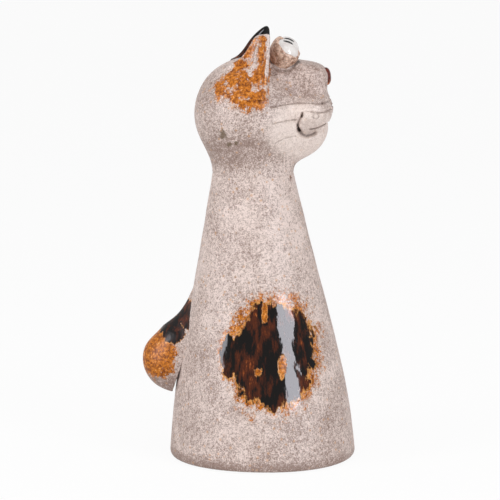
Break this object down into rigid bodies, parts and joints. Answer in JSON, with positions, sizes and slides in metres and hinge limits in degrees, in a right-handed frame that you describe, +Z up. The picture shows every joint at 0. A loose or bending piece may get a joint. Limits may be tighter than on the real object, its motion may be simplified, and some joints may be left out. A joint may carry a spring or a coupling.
{
  "type": "ceramic cat figurine",
  "caption": "Hand-built stoneware cat with a hollow cone body, ball head, upright ears, raised eyes, whisker pads and a drop tail; free-standing ornament.",
  "frame": {"origin": "on the ground under the middle of the whole cat's box", "axes": "+Z up, +X the way the cat looks, +Y to the cat's left"},
  "size_m": [0.1502, 0.13, 0.3002],
  "materials": {
    "stoneware": "matte",
    "lid_clay": "satin",
    "white_glaze": "gloss",
    "nose_glaze": "gloss",
    "iron_glaze": "satin",
    "dark_glaze": "gloss"
  },
  "bodies": {
    "root": {"body_cone": "stoneware", "head_shell": "stoneware", "snout": "stoneware", "lower_jaw": "stoneware", "whisker_pad_right": "stoneware", "whisker_pad_left": "stoneware", "nose_tip": "nose_glaze", "eyeball_right": "white_glaze", "eyeball_left": "white_glaze", "eyelid_right": "lid_clay", "eyelid_left": "lid_clay", "ear_right": "iron_glaze", "ear_left": "dark_glaze", "tail": "iron_glaze"}
  },
  "joints": []
}
